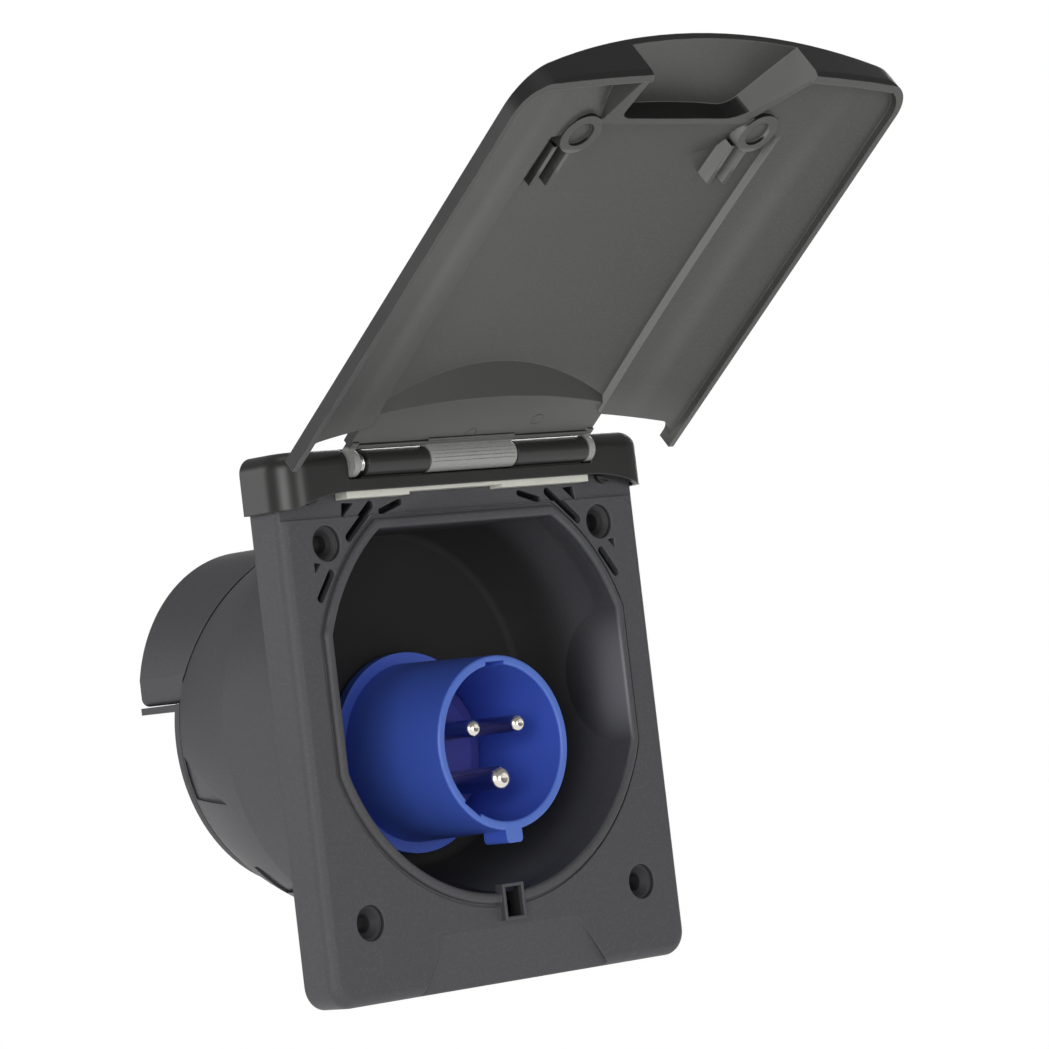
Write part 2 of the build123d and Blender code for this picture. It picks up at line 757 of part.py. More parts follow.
# Cable gland through the closing plate
gland_front = skirt_end + fit
gland_back = gland_front + closing_thickness
with BuildPart() as gland_body:
    with BuildSketch(facing(gland_back)):
        with Locations((0, gland_height)):
            Circle(gland_thread_radius)
    extrude(amount=closing_thickness + gland_locknut_thickness + 2)
    with BuildSketch(facing(gland_back + gland_hex_thickness)):
        with Locations((0, gland_height)):
            RegularPolygon(gland_hex_across / 2, 6, major_radius=False)
    extrude(amount=gland_hex_thickness)
    with BuildSketch(facing(gland_back + gland_hex_thickness + gland_body_reach)):
        with Locations((0, gland_height)):
            Circle(gland_thread_radius)
    extrude(amount=gland_body_reach)
    with BuildSketch(facing(gland_back + gland_hex_thickness + gland_body_reach + 1)):
        with Locations((0, gland_height)):
            Circle(gland_bore_radius + gland_seal_fit)
    extrude(amount=4 * gland_body_reach, mode=Mode.SUBTRACT)
save(gland_body, "gland_body")

with BuildPart() as gland_locknut:
    with BuildSketch(facing(gland_front)):
        with Locations((0, gland_height)):
            RegularPolygon(gland_hex_across / 2, 6, major_radius=False)
            Circle(gland_thread_radius + loose_fit, mode=Mode.SUBTRACT)
    extrude(amount=gland_locknut_thickness)
save(gland_locknut, "gland_locknut")

nut_start = gland_back + gland_hex_thickness + gland_nut_gap
with BuildPart() as gland_nut:
    with BuildSketch(facing(nut_start + gland_nut_length * 0.6)):
        with Locations((0, gland_height)):
            RegularPolygon(gland_hex_across / 2, 6, major_radius=False)
    extrude(amount=gland_nut_length * 0.6)
    with BuildSketch(facing(nut_start + gland_nut_length)):
        with Locations((0, gland_height)):
            Circle(gland_hex_across / 2 - 1.6)
    extrude(amount=gland_nut_length * 0.4)
    fillet(gland_nut.edges().group_by(Axis.Y)[-1], 2.2)
    with BuildSketch(facing(nut_start + gland_nut_length - gland_nut_end)):
        with Locations((0, gland_height)):
            Circle(gland_thread_radius + loose_fit)
    extrude(amount=gland_nut_length, mode=Mode.SUBTRACT)
    with BuildSketch(facing(nut_start + gland_nut_length + 1)):
        with Locations((0, gland_height)):
            Circle(gland_bore_radius)
    extrude(amount=gland_nut_length, mode=Mode.SUBTRACT)
save(gland_nut, "gland_nut")

with BuildPart() as gland_seal:
    with BuildSketch(facing(nut_start + gland_nut_length - gland_nut_end - loose_fit)):
        with Locations((0, gland_height)):
            Circle(gland_bore_radius + gland_seal_fit - loose_fit)
            Circle(gland_bore_radius + gland_seal_fit - loose_fit - gland_seal_wall, mode=Mode.SUBTRACT)
    extrude(amount=gland_seal_length)
save(gland_seal, "gland_seal")

# Hood with the two fixed knuckles
hinge_shelf_top = hinge_z - barrel_radius - knuckle_gap
hinge_back = hinge_y + barrel_radius + knuckle_gap
with BuildPart() as hinge_cover:
    hood_height = hood_top - hood_side_bottom
    with BuildSketch(Plane.XY.offset(hood_side_bottom)) as hood_plan:
        with Locations((0, -hood_front / 2)):
            Rectangle(2 * hood_half_width, hood_front)
        fillet(hood_plan.vertices().group_by(Axis.Y)[0], hood_plan_corner)
    extrude(amount=hood_height)
    top_face = hinge_cover.faces().sort_by(Axis.Z)[-1]
    fillet(top_face.edges().sort_by(Axis.Y)[:-1], hood_top_corner)
    with BuildSketch(Plane.XY.offset(hood_side_bottom)) as hood_hollow:
        with Locations((0, -(hood_front - hood_wall) / 2)):
            Rectangle(2 * (hood_half_width - hood_wall), hood_front - hood_wall)
        fillet(hood_hollow.vertices().group_by(Axis.Y)[0], hood_plan_corner - hood_wall)
    extrude(amount=hood_height - hood_wall, mode=Mode.SUBTRACT)
    # hinge trough across the middle, with its own walls
    with BuildSketch(Plane.YZ):
        with BuildLine():
            Polyline(
                (-hood_front + 1, hinge_shelf_top - hood_wall),
                (-plate_depth + ledge_depth - fit, hinge_shelf_top - hood_wall),
                (-plate_depth + ledge_depth - fit, hood_top - 1),
                (-hood_front + 5, hood_top - 1),
                (-hood_front + 1, hood_top - 5),
                close=True,
            )
        make_face()
    extrude(amount=hinge_room + hood_wall, both=True)
    with BuildSketch(Plane.YZ):
        with BuildLine():
            Polyline(
                (-hood_front - 1, hinge_shelf_top),
                (hinge_back, hinge_shelf_top),
                (hinge_back, hood_top + 1),
                (-hood_front - 1, hood_top + 1),
                close=True,
            )
        make_face()
    extrude(amount=hinge_room, both=True, mode=Mode.SUBTRACT)
    # posts for the screws from behind the plate
    with BuildSketch(facing(-plate_depth + ledge_depth)):
        with Locations((-hood_screw_x, hood_screw_z), (hood_screw_x, hood_screw_z)):
            Circle(small_post_radius)
    extrude(amount=hood_front - hood_wall - plate_depth + ledge_depth + 0.5)
    with BuildSketch(facing(-plate_depth + ledge_depth)):
        with Locations((-hood_screw_x, hood_screw_z), (hood_screw_x, hood_screw_z)):
            Circle(small_screw_radius + screw_pilot_fit)
    extrude(amount=hood_front - hood_wall - plate_depth + ledge_depth, mode=Mode.SUBTRACT)
    # fixed knuckles
    left_span = (-ring_inner + spring_room, lid_knuckle_left - knuckle_gap)
    right_span = (lid_knuckle_right + knuckle_gap, ring_inner - knuckle_gap)
    for start, stop in (left_span, right_span):
        with BuildSketch(hinge_side.offset(start)):
            Circle(barrel_radius)
            with Locations(((barrel_radius + knuckle_gap) / 2 + 0.3, 0)):
                Rectangle(barrel_radius + knuckle_gap + 0.6, 2 * barrel_radius)
            with Locations(((barrel_radius + knuckle_gap) / 2 + 0.3, -barrel_radius)):
                Rectangle(barrel_radius + knuckle_gap + 0.6, 2 * knuckle_gap + 0.4)
        extrude(amount=stop - start)
    # bore for the hinge pin
    with BuildSketch(hinge_side.offset(-pin_half_length - fit)):
        Circle(pin_radius + pin_fit)
    extrude(amount=2 * (pin_half_length + fit), mode=Mode.SUBTRACT)
    # raised lower edge of the front, which drops at both ends
    with BuildSketch(facing(-ledge_depth - plate_depth + 0.5)):
        edge_end = hood_half_width - hood_plan_corner / 2
        edge_top = hood_side_bottom + hood_edge_rise
        with BuildLine():
            Line((-hood_edge_flat, edge_top), (hood_edge_flat, edge_top))
            TangentArc((hood_edge_flat, edge_top), (edge_end, hood_side_bottom), tangent=(1, 0))
            TangentArc((-hood_edge_flat, edge_top), (-edge_end, hood_side_bottom), tangent=(-1, 0))
            Polyline(
                (edge_end, hood_side_bottom),
                (edge_end, hood_side_bottom - 1),
                (-edge_end, hood_side_bottom - 1),
                (-edge_end, hood_side_bottom),
            )
        make_face()
    extrude(amount=hood_front, mode=Mode.SUBTRACT)
save(hinge_cover, "hinge_cover")

# Screws of the hood, from behind the plate
hood_seat_y = plate_face + plate_front_wall + small_screw_head_height
hood_screw_length = hood_front - hood_wall + hood_seat_y - fit
hood_seat = Plane(origin=(0, hood_seat_y, 0), x_dir=(1, 0, 0), z_dir=(0, 1, 0))
hood_spots = [(-hood_screw_x, -hood_screw_z), (hood_screw_x, -hood_screw_z)]
hood_screw_set = screw_at(hood_seat, hood_spots, hood_screw_length)
with BuildPart() as hood_screws:
    add(hood_screw_set)
save(hood_screws, "hood_screws")

# Pale sealing strip under the hinge trough
with BuildPart() as hood_seal:
    seal_top = hinge_shelf_top - hood_wall
    with BuildSketch(facing(-plate_depth + ledge_depth)):
        with Locations((0, seal_top - seal_depth_thin / 2)):
            Rectangle(2 * seal_half_width, seal_depth_thin)
        for start, stop in ((-seal_half_width, seal_thin_from), (seal_thin_to, seal_half_width)):
            with Locations(((start + stop) / 2, seal_top - seal_depth / 2)):
                Rectangle(stop - start, seal_depth)
    extrude(amount=hood_front - hood_wall - plate_depth + ledge_depth - loose_fit)
save(hood_seal, "hood_seal")

# Hinge pin
with BuildPart() as hinge_pin:
    with BuildSketch(hinge_side.offset(-pin_half_length)):
        Circle(pin_radius)
    extrude(amount=2 * pin_half_length)
    chamfer(hinge_pin.edges(), 0.3)
save(hinge_pin, "hinge_pin")

# Lid
def lid_form(height_shift, half_width, side_top, bottom):
    """The domed form of the lid: arched sections of one width and changing height, joined smoothly."""
    with BuildPart() as form:
        for place, height in lid_dome:
            with BuildSketch(lid_across(place)):
                with BuildLine():
                    ThreePointArc((half_width, side_top), (0, height - height_shift), (-half_width, side_top))
                    Polyline(
                        (-half_width, side_top),
                        (-half_width, bottom),
                        (half_width, bottom),
                        (half_width, side_top),
                    )
                make_face()
        loft()
    return form.part


def lid_end_form(shrink, half_width, corner):
    """Everything inside the free end: an arc in plan that leans out with height, with round corners."""
    deep = 30.0
    wide = lid_half_width * 1.6
    bend = lid_end_sagitta / lid_half_width**2
    with BuildPart() as form:
        with BuildSketch(lid_plan(lid_rim - 2)):
            with BuildLine():
                end_middle = lid_length - shrink
                end_side = end_middle - bend * wide**2
                ThreePointArc((-wide, end_side), (0, end_middle), (wide, end_side))
                Polyline((wide, end_side), (wide, -deep), (-wide, -deep), (-wide, end_side))
            make_face()
        extrude(amount=-deep, taper=-lid_end_lean)
        with BuildSketch(lid_plan(lid_rim - 2)) as plan:
            with BuildLine():
                reach = lid_length - shrink + lid_corner_reach
                corner_reach = reach - bend * half_width**2
                ThreePointArc((-half_width, corner_reach), (0, reach), (half_width, corner_reach))
                Polyline(
                    (half_width, corner_reach),
                    (half_width, -deep),
                    (-half_width, -deep),
                    (-half_width, corner_reach),
                )
            make_face()
            fillet(plan.vertices().group_by(Axis.Y)[-1], corner)
        extrude(amount=-deep, mode=Mode.INTERSECT)
    return form.part


lid_outside = lid_form(0, lid_half_width, lid_side_top, lid_rim)
lid_end_outside = lid_end_form(0, lid_half_width, lid_corner_radius)
lid_inner_half = lid_half_width - lid_side_wall
lid_inner_top = lid_side_top - lid_side_wall
lid_deep = 20.0
lid_wing_hollow = lid_form(lid_wing_drop, lid_inner_half, lid_inner_top, lid_rim - 1)
lid_end_inside = lid_end_form(lid_end_wall, lid_inner_half, lid_corner_radius - lid_side_wall)
lid_panel_hollow = lid_form(lid_panel_wall, lid_inner_half, lid_inner_top, lid_rim - 1)
lid_scoop_roof = lid_form(lid_scoop_wall, lid_inner_half, lid_inner_top, lid_rim - 1)

# hollow under the wings and the whole panel, closed at the free end
with BuildPart() as wing_hollow:
    add(lid_wing_hollow)
    add(lid_end_inside, mode=Mode.INTERSECT)

# end of the panel: its inside curves up to the crest in front of the scoop and goes on as a shelf
scoop_front = lid_scoop_start - lid_scoop_side_wall
lid_reach = lid_length + 10
with BuildPart() as panel_end:
    with BuildSketch(lid_side(lid_crease)):
        with BuildLine():
            ramp_top = (lid_ramp_start, lid_ramp_level)
            ramp_foot = (scoop_front, lid_scoop_crest)
            TangentArc(ramp_top, ramp_foot, tangent=(1, 0))
            Polyline(
                ramp_foot,
                (lid_scoop_start, lid_scoop_crest),
                (lid_scoop_start, lid_shelf_level),
                (lid_reach, lid_shelf_level),
                (lid_reach, lid_deep),
                (lid_ramp_start, lid_deep),
                ramp_top,
            )
        make_face()
    extrude(amount=2 * lid_crease)
    add(lid_outside, mode=Mode.INTERSECT)
    add(lid_end_outside, mode=Mode.INTERSECT)

# deeper hollow between the creases, under the sloped step near the hinge and up to the curved end
with BuildPart() as panel_hollow:
    add(lid_panel_hollow)
    with BuildSketch(lid_plan(lid_rim - 2)):
        with Locations((0, lid_scoop_start / 2 - 6)):
            Rectangle(2 * lid_crease, lid_scoop_start)
        Rectangle(2 * ring_outer, 2 * lid_wing_start)
    extrude(amount=-30, mode=Mode.INTERSECT)
    add(panel_end.part, mode=Mode.SUBTRACT)

# the sloped step: a cone whose edge is an arc in plan
with BuildPart() as apron:
    with BuildSketch(lid_plan(lid_apron_level)):
        with Locations((0, lid_step_reach - lid_step_radius)):
            Circle(lid_step_radius)
    extrude(amount=-14, taper=-45)
    with BuildSketch(lid_plan(lid_apron_level)):
        with Locations((0, lid_apron_start + 20)):
            Rectangle(2 * ring_outer, 40)
    extrude(amount=-14, mode=Mode.INTERSECT)
    add(lid_outside, mode=Mode.INTERSECT)

# ridge round the scoop, which climbs to the rim at the free end and has sloping flanks
with BuildPart() as scoop_ridge:
    with BuildSketch(lid_plan(lid_rim)):
        with BuildLine():
            Polyline(
                (-lid_scoop_mouth - lid_scoop_side_wall, lid_length + 8),
                (-lid_scoop_half_width - lid_scoop_side_wall, scoop_front),
                (lid_scoop_half_width + lid_scoop_side_wall, scoop_front),
                (lid_scoop_mouth + lid_scoop_side_wall, lid_length + 8),
                close=True,
            )
        make_face()
    extrude(amount=-14, taper=-lid_scoop_flank)
    with BuildSketch(lid_side(lid_half_width)):
        with BuildLine():
            Polyline(
                (scoop_front, lid_scoop_crest),
                (lid_scoop_start, lid_scoop_crest),
                (lid_length - 2, lid_rim + 0.5),
                (lid_reach, lid_rim + 0.5),
                (lid_reach, lid_deep),
                (scoop_front, lid_deep),
                close=True,
            )
        make_face()
    extrude(amount=2 * lid_half_width, mode=Mode.INTERSECT)
    add(lid_outside, mode=Mode.INTERSECT)
    add(lid_end_outside, mode=Mode.INTERSECT)

# cable scoop through the end wall
with BuildPart() as scoop:
    add(lid_scoop_roof)
    with BuildSketch(lid_plan(lid_rim - 2)) as scoop_plan:
        with BuildLine():
            Polyline(
                (-lid_scoop_mouth, lid_length + 8),
                (-lid_scoop_half_width, lid_scoop_start),
                (lid_scoop_half_width, lid_scoop_start),
                (lid_scoop_mouth, lid_length + 8),
                close=True,
            )
        make_face()
        fillet(scoop_plan.vertices().group_by(Axis.Y)[0], lid_scoop_corner)
    extrude(amount=-30, mode=Mode.INTERSECT)

# round bosses with a dish, and their ribs
with BuildPart() as lid_bosses:
    for side in (-1, 1):
        with BuildSketch(lid_plan(lid_boss_level)):
            with Locations((side * lid_boss_x, lid_boss_u)):
                Circle(lid_boss_radius)
        extrude(amount=-14)
        with BuildSketch(lid_plan(lid_rib_level)):
            for rib_offset in lid_rib_offsets:
                with Locations((side * lid_boss_x + rib_offset, lid_boss_u - lid_rib_length + 1)):
                    Rectangle(lid_rib_width, lid_rib_length)
        extrude(amount=-14)
        with BuildSketch(lid_plan(lid_boss_level + lid_dish_depth)):
            with Locations((side * lid_boss_x, lid_boss_u)):
                Circle(lid_boss_dish)
        extrude(amount=lid_dish_depth + 1, mode=Mode.SUBTRACT)
    add(lid_outside, mode=Mode.INTERSECT)

with BuildPart() as lid:
    add(lid_outside)
    add(lid_end_outside, mode=Mode.INTERSECT)
    add(wing_hollow.part, mode=Mode.SUBTRACT)
    add(panel_hollow.part, mode=Mode.SUBTRACT)
    # hinge side: wings cut back, with an ear at each outer corner
    with BuildSketch(lid_plan(lid_rim - 2)):
        for side in (-1, 1):
            with BuildLine():
                Polyline(
                    (side * ring_outer, -12),
                    (side * ring_outer, lid_wing_start),
                    (side * (lid_inner_half - 5), lid_wing_start),
                )
                RadiusArc(
                    (side * (lid_inner_half - 5), lid_wing_start),
                    (side * lid_inner_half, lid_wing_start - 5),
                    side * 5.5,
                )
                Polyline(
                    (side * lid_inner_half, lid_wing_start - 5),
                    (side * lid_inner_half, lid_ear_start),
                    (side * (lid_half_width + 2), lid_ear_start),
                    (side * (lid_half_width + 2), -12),
                    (side * ring_outer, -12),
                )
            make_face()
        with Locations((0, lid_apron_start - 10)):
            Rectangle(2 * ring_outer, 20)
    extrude(amount=-30, mode=Mode.SUBTRACT)
    add(apron.part)
    add(panel_end.part)
    add(scoop_ridge.part)
    add(scoop.part, mode=Mode.SUBTRACT)
    add(lid_bosses.part)
    # lip along the hinge edge that covers the gap to the fixed knuckles
    with BuildSketch(lid_side(ring_inner)):
        with Locations((lid_apron_start + lid_lip_width / 2, (lid_lip_level + lid_apron_level) / 2 + 0.5)):
            Rectangle(lid_lip_width, lid_apron_level - lid_lip_level + 1)
    extrude(amount=2 * ring_inner)
    # knuckle in the middle and a ring at each end
    knuckles = [(lid_knuckle_left, lid_knuckle_right), (-ring_outer, -ring_inner), (ring_inner, ring_outer)]
    for start, stop in knuckles:
        with BuildSketch(lid_side(stop)):
            Circle(barrel_radius)
            with Locations((lid_apron_start / 2 + 1, (barrel_radius + 1.6) / 2)):
                Rectangle(lid_apron_start + 2, barrel_radius - 1.6)
        extrude(amount=stop - start)
    with BuildSketch(lid_side(pin_half_length)):
        Circle(pin_radius + pin_fit)
    extrude(amount=2 * pin_half_length, mode=Mode.SUBTRACT)
save(lid, "lid")
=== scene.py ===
"""A flush mains inlet for a caravan wall: its finishes, its small parts and its studio.

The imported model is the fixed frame. Each operator dresses one piece or a group of like pieces.
Lengths are in metres, in the model's own directions: X right, Y into the wall, Z up.
"""
import json

import bpy
import numpy as np
from mathutils import Matrix, Vector


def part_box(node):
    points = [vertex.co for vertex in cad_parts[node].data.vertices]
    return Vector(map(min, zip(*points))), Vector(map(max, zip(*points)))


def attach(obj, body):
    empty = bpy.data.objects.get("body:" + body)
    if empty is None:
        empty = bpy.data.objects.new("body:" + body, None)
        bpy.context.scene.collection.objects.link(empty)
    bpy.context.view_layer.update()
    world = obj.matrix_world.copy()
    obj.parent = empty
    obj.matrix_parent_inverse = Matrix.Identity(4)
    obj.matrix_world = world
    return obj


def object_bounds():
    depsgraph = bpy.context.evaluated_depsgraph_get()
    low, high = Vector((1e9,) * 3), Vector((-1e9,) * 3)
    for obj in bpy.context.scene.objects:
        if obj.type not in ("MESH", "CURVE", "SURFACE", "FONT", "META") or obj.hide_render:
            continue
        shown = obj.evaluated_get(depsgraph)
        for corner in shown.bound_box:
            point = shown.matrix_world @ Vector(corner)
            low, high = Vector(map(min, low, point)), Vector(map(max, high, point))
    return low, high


bl_info = {
    "name": "Caravan Power Inlet",
    "version": (1, 0, 0),
    "blender": (4, 5, 0),
    "location": "View3D > Sidebar > Inlet",
    "description": "Dresses a flush caravan mains inlet and sets up its studio",
    "category": "Object",
}

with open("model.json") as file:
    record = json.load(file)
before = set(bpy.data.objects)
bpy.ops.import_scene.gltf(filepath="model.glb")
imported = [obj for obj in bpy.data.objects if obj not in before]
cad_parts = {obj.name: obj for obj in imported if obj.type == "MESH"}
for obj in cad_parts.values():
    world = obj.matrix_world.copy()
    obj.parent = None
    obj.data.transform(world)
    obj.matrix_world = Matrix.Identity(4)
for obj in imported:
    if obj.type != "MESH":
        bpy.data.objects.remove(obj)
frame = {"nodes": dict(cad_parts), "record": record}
cad_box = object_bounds()

MM = 0.001
HOUSING = "housing"
COVER = "cover"
RIGHT = (1, 0, 0)
UP = (0, 0, 1)
FRONT = (0, -1, 0)

# The open lid: its hinge line, its lean, and the directions of its free end and its outer face
HINGE = np.array(frame["record"]["behaviour"]["joints"][0]["pos_m"])
LEAN = np.radians(38.2)
LID_END = (0, -np.cos(LEAN), np.sin(LEAN))
LID_OUT = (0, -0.26, 0.97)

# The bowl: height of its middle line, radius just outside its wall, middle of its opening
BOWL_MIDDLE = 7.9 * MM
BOWL_RADIUS = 56 * MM
OPENING = np.array([0, -13.35 * MM, BOWL_MIDDLE])
# How far each fixing hole is from the middle, to its side and up or down
HOLE_PLACE = 52 * MM

# Moulded plastic: width of its rounded edges, size of the patches along its paler edges and of its
# slow changes
EDGE_WIDTH = 0.5 * MM
PATCH_SIZE = 6 * MM
CLOUD_SIZE = 30 * MM
# Its paler edges, partly wear and partly a painted highlight: the least paleness between the
# patches, and how much paler they are
LEAST_EDGE_WEAR_AND_HIGHLIGHT = 0.4
EDGE_WEAR_AND_HIGHLIGHT_PALER = 2.2
# Its dust: how much paler it is, and how much of it shows
DUST_PALER = 1.9
DUST_SHARE = 0.22
# Share of white in red, green and blue where glossy plastic is paler
PALE_WHITE_SHARE = (0.05, 0.1, 0.12)
LAMP_GLOSS = 0.6

FOAM_BLACK = (0.018, 0.018, 0.018)
GLAND_BLACK = (0.022, 0.022, 0.022)
BRIGHT_STEEL = (0.62, 0.62, 0.62)
SPRING_STEEL = (0.58, 0.58, 0.56)


class Value:
    """A shader socket that takes part in arithmetic: each operation adds one Math node."""

    def __init__(self, tree, socket):
        self.tree = tree
        self.socket = socket

    def math(self, operation, *others):
        node = self.tree.nodes.new("ShaderNodeMath")
        node.operation = operation
        for slot, item in zip(node.inputs, others):
            if isinstance(item, Value):
                self.tree.links.new(item.socket, slot)
            else:
                slot.default_value = item
        return Value(self.tree, node.outputs[0])

    def __add__(self, other):
        return self.math("ADD", self, other)

    def __radd__(self, other):
        return self.math("ADD", other, self)

    def __sub__(self, other):
        return self.math("SUBTRACT", self, other)

    def __rsub__(self, other):
        return self.math("SUBTRACT", other, self)

    def __mul__(self, other):
        return self.math("MULTIPLY", self, other)

    def __rmul__(self, other):
        return self.math("MULTIPLY", other, self)

    def __pow__(self, other):
        return self.math("POWER", self, other)

    def __abs__(self):
        return self.math("ABSOLUTE", self)

    def larger(self, other):
        """The larger of two values."""
        return self.math("MAXIMUM", self, other)

    def above(self, edge, softness):
        """0 below the edge, 1 above it, with a soft step between."""
        node = self.tree.nodes.new("ShaderNodeMapRange")
        node.interpolation_type = "SMOOTHSTEP"
        self.tree.links.new(self.socket, node.inputs["Value"])
        node.inputs["From Min"].default_value = edge - softness
        node.inputs["From Max"].default_value = edge + softness
        return Value(self.tree, node.outputs["Result"])

    def below(self, edge, softness):
        """1 below the edge, 0 above it, with a soft step between."""
        return 1 - self.above(edge, softness)


class Finish:
    """One material and the few steps that every finish here is made of."""

    def __init__(self, name):
        self.material = bpy.data.materials.new(name)
        self.material.use_nodes = True
        self.tree = self.material.node_tree
        self.shader = self.tree.nodes["Principled BSDF"]
        self.output = self.tree.nodes["Material Output"]
        self.place = self.add("ShaderNodeTexCoord", output="Object")

    def add(self, kind, settings=(), inputs=(), output=0):
        """Adds a node, sets it up, feeds its sockets and gives one output back."""
        node = self.tree.nodes.new(kind)
        for name, setting in dict(settings).items():
            setattr(node, name, setting)
        for name, item in dict(inputs).items():
            self.feed(node.inputs[name], item)
        return Value(self.tree, node.outputs[output])

    def feed(self, socket, item):
        """Links a value to a socket, or writes a plain number, colour or direction into it."""
        if isinstance(item, Value):
            self.tree.links.new(item.socket, socket)
        else:
            socket.default_value = item

    def noise(self, size, detail=3.0, rough=0.55, stretch=(1, 1, 1)):
        """Noise whose lumps are about one size across, in metres."""
        place = self.add("ShaderNodeMapping", inputs={"Vector": self.place, "Scale": stretch})
        inputs = {"Vector": place, "Scale": 1 / size, "Detail": detail, "Roughness": rough}
        return self.add("ShaderNodeTexNoise", inputs=inputs)

    def axis(self, name):
        """One object coordinate in metres."""
        return self.add("ShaderNodeSeparateXYZ", inputs={"Vector": self.place}, output=name)

    def blend(self, factor, low, high):
        """Mixes two colours by a value."""
        node = self.tree.nodes.new("ShaderNodeMix")
        node.data_type = "RGBA"
        self.feed(node.inputs[0], factor)
        self.feed(node.inputs[6], low)
        self.feed(node.inputs[7], high)
        return Value(self.tree, node.outputs[2])

    def relief(self, height, depth, under=None):
        """A bump of a depth in metres, over another one if given."""
        inputs = {"Height": height, "Distance": depth, "Strength": 1.0}
        if under is not None:
            inputs["Normal"] = under
        return self.add("ShaderNodeBump", inputs=inputs)

    def dot(self, one, two):
        """How far two directions agree: 1 where they are the same."""
        settings = {"operation": "DOT_PRODUCT"}
        return self.add("ShaderNodeVectorMath", settings, {0: one, 1: two}, "Value")

    def facing(self, direction):
        """How far the surface looks in a direction of the model: 1 straight, 0 across it."""
        return self.dot(self.add("ShaderNodeTexCoord", output="Normal"), direction)

    def edge(self, width):
        """Rounded direction of the surface near its edges, and 0 to 1 for how near an edge is."""
        rounded = self.add("ShaderNodeBevel", {"samples": 6}, {"Radius": width})
        flat = self.add("ShaderNodeNewGeometry", output="True Normal")
        return rounded, (1 - self.dot(rounded, flat)).above(0.05, 0.045)

    def set(self, **items):
        """Feeds inputs of the Principled shader, each under its name with an underscore."""
        for name, item in items.items():
            self.feed(self.shader.inputs[name.replace("_", " ").title()], item)


def grade(colour, factor):
    """A colour made lighter or darker."""
    return tuple(min(1.0, c * factor) for c in colour[:3]) + (1.0,)


def moulded(name, colour, rough, grain, depth=0.03 * MM, cloud=0.08, edge_wear_and_highlight=0.5, regions=()):
    """Moulded plastic: grain in bump, slow changes of tone and gloss, and paler edges, partly wear
    and partly a painted highlight.

    Each region is a function that gives its mask, the factor of its tone, and how much
    smoother it is.
    """
    finish = Finish(name)
    rounded, near_edge = finish.edge(EDGE_WIDTH)
    patchy = finish.noise(PATCH_SIZE, 2.0).above(0.5, 0.2)
    # Paler edges: partly wear, partly a painted edge highlight
    worn_and_highlit_edge = near_edge * (patchy * (1 - LEAST_EDGE_WEAR_AND_HIGHLIGHT) + LEAST_EDGE_WEAR_AND_HIGHLIGHT) * edge_wear_and_highlight
    cloudy = finish.noise(CLOUD_SIZE, 2.0)
    fine = finish.noise(grain, 2.0, 0.6)
    speck = finish.noise(grain * 2.2, 1.0)
    tone = finish.blend(cloudy, grade(colour, 1 - cloud), grade(colour, 1 + cloud))
    dust = speck.above(0.6, 0.12) * DUST_SHARE
    tone = finish.blend(dust, tone, grade(colour, DUST_PALER))
    gloss = rough + (cloudy - 0.5) * 0.12 + (fine - 0.5) * 0.16 - worn_and_highlit_edge * 0.2
    for region, factor, smoother in regions:
        mask = region(finish)
        tone = finish.blend(mask, tone, grade(colour, factor))
        gloss = gloss - mask * smoother
    finish.set(Base_Color=finish.blend(worn_and_highlit_edge, tone, grade(colour, EDGE_WEAR_AND_HIGHLIGHT_PALER)))
    finish.set(Roughness=gloss)
    finish.set(Normal=finish.relief(fine, depth, under=rounded))
    return finish


def along_lid(finish):
    """Distance along the open lid from the hinge line."""
    back = finish.axis("Y") - HINGE[1]
    rise = finish.axis("Z") - HINGE[2]
    return rise * np.sin(LEAN) - back * np.cos(LEAN)


def out_of_lid(finish):
    """Distance out of the open lid from the hinge line."""
    back = finish.axis("Y") - HINGE[1]
    rise = finish.axis("Z") - HINGE[2]
    return rise * np.cos(LEAN) + back * np.sin(LEAN)


def lid_outside(finish):
    """Faces of the lid that look outwards, to a side or to its free end."""
    top = finish.facing(LID_OUT).above(0.3, 0.12)
    side = (finish.axis("X") * finish.facing(RIGHT)).above(40 * MM, 8 * MM)
    return top.larger(side)


def lid_crescent_painted_shade(finish):
    """The sloped step near the hinge, which looks towards the free end, darkened as painted shade.
    """
    return finish.facing(LID_END).above(0.4, 0.15) * along_lid(finish).below(35 * MM, 3 * MM)


def lid_root(finish):
    """The apron beside the hinge, made paler."""
    return along_lid(finish).below(18 * MM, 10 * MM)


def lid_creases_painted_light(finish):
    """Steps inside the lid that look to the middle, smoother than the rest and paler as painted
    light.
    """
    inward = (0 - finish.axis("X") * finish.facing(RIGHT)).above(16 * MM, 8 * MM)
    return inward * abs(finish.axis("X")).below(55 * MM, 4 * MM)


def lid_ribs_painted_light(finish):
    """The ribs below the two bosses, smooth, and paler as painted light."""
    along = along_lid(finish)
    across = abs(finish.axis("X"))
    near = along.above(105 * MM, 1 * MM) * along.below(114.5 * MM, 0.5 * MM)
    beside = across.above(26 * MM, 0.5 * MM) * across.below(40.2 * MM, 0.4 * MM)
    return near * beside * out_of_lid(finish).below(4.2 * MM, 1 * MM)


def lid_knuckle_painted_highlight(finish):
    """The part of the lid close round the hinge line, paler as a painted highlight, and smoother.
    """
    back = finish.axis("Y") - HINGE[1]
    rise = finish.axis("Z") - HINGE[2]
    return ((back ** 2 + rise ** 2) ** 0.5).below(4.5 * MM, 0.6 * MM)


def bowl_reach(finish):
    """Distance from the bowl's middle line."""
    return (finish.axis("X") ** 2 + (finish.axis("Z") - BOWL_MIDDLE) ** 2) ** 0.5


def bowl_outward(finish):
    """Distance from the bowl's middle line times how far the face looks away from that line.

    It is below 0 on the inside of a wall.
    """
    across = finish.axis("X") * finish.facing(RIGHT)
    upward = (finish.axis("Z") - BOWL_MIDDLE) * finish.facing(UP)
    return across + upward


